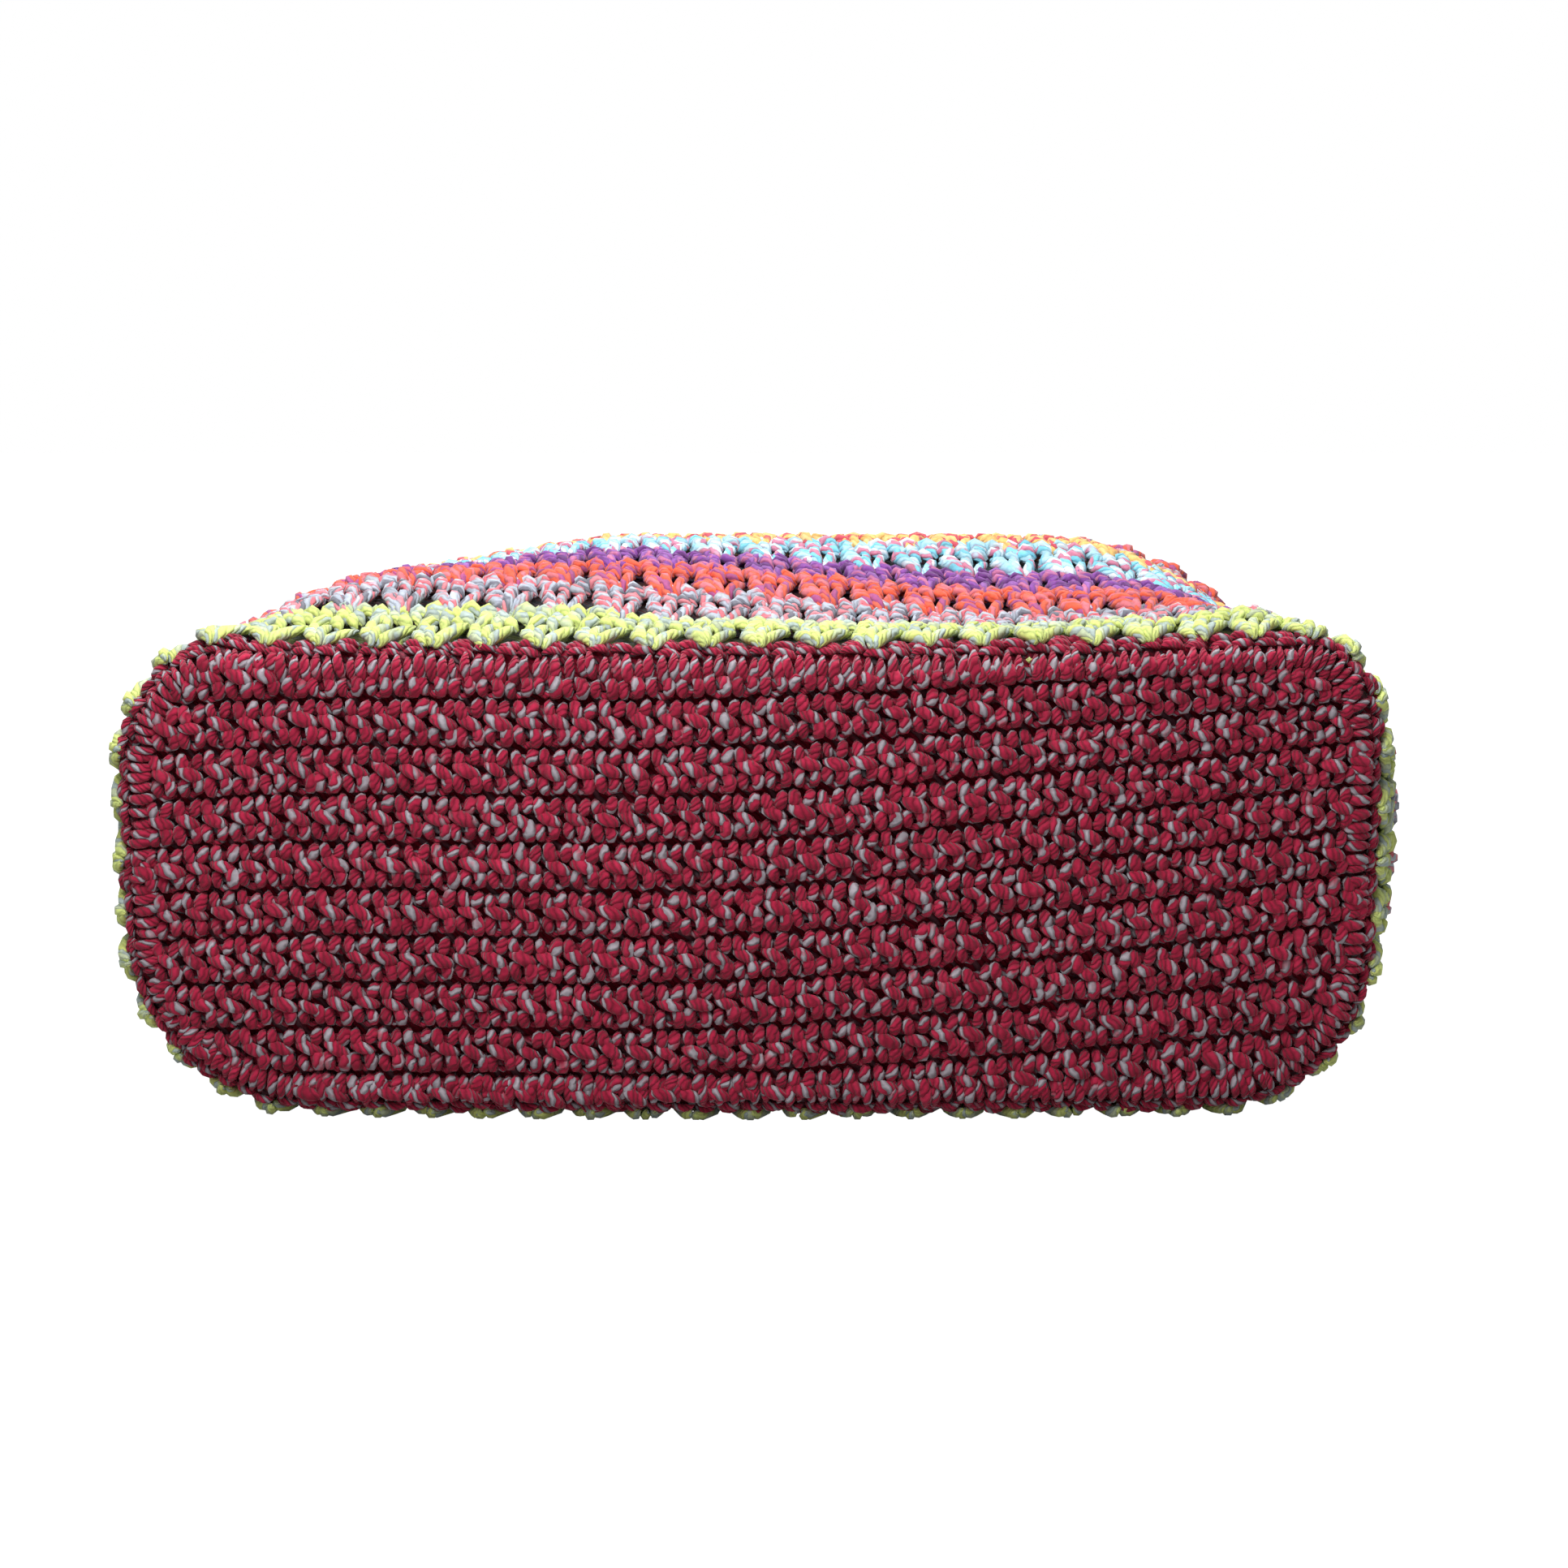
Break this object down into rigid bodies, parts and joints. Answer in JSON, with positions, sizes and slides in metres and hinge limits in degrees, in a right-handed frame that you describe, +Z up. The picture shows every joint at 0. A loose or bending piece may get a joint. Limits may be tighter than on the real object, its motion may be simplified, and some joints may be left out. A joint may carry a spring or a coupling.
{
  "type": "crochet shoulder bag",
  "caption": "Slack crocheted shoulder bag lying on its back wall, with a rectangular base, a striped cluster-stitch wall, an open mouth and a crocheted strap looped behind it.",
  "frame": {"origin": "on the surface the bag lies on, under the middle of its overall box, strap included", "axes": "+X along the base panel's long side, to the right as the base is seen; +Y from the base panel to the mouth and strap; +Z up from the back wall the bag lies on"},
  "size_m": [0.3268, 0.502, 0.1394],
  "materials": {
    "crimson_marl_yarn": "matt crocheted yarn, crimson and grey strands held together",
    "yellow_yarn": "matt crocheted yarn, yellow-green with pale grey",
    "grey_pink_yarn": "matt crocheted yarn, blue-grey with salmon",
    "coral_yarn": "matt crocheted yarn, coral with salmon and magenta",
    "purple_yarn": "matt crocheted yarn, purple with pink",
    "light_blue_yarn": "matt crocheted yarn, light blue and turquoise with pink",
    "gold_yarn": "matt crocheted yarn, gold with crimson"
  },
  "bodies": {
    "root": {"base_panel": "crimson_marl_yarn", "yellow_round_1": "yellow_yarn", "grey_pink_round_1": "grey_pink_yarn", "coral_round_1": "coral_yarn", "purple_round_1": "purple_yarn", "light_blue_round_1": "light_blue_yarn", "gold_round_1": "gold_yarn", "yellow_round_2": "yellow_yarn", "grey_pink_round_2": "grey_pink_yarn", "coral_round_2": "coral_yarn", "purple_round_2": "purple_yarn", "light_blue_round_2": "light_blue_yarn", "gold_round_2": "gold_yarn", "rim_band": "crimson_marl_yarn", "shoulder_strap": "crimson_marl_yarn"}
  },
  "joints": []
}
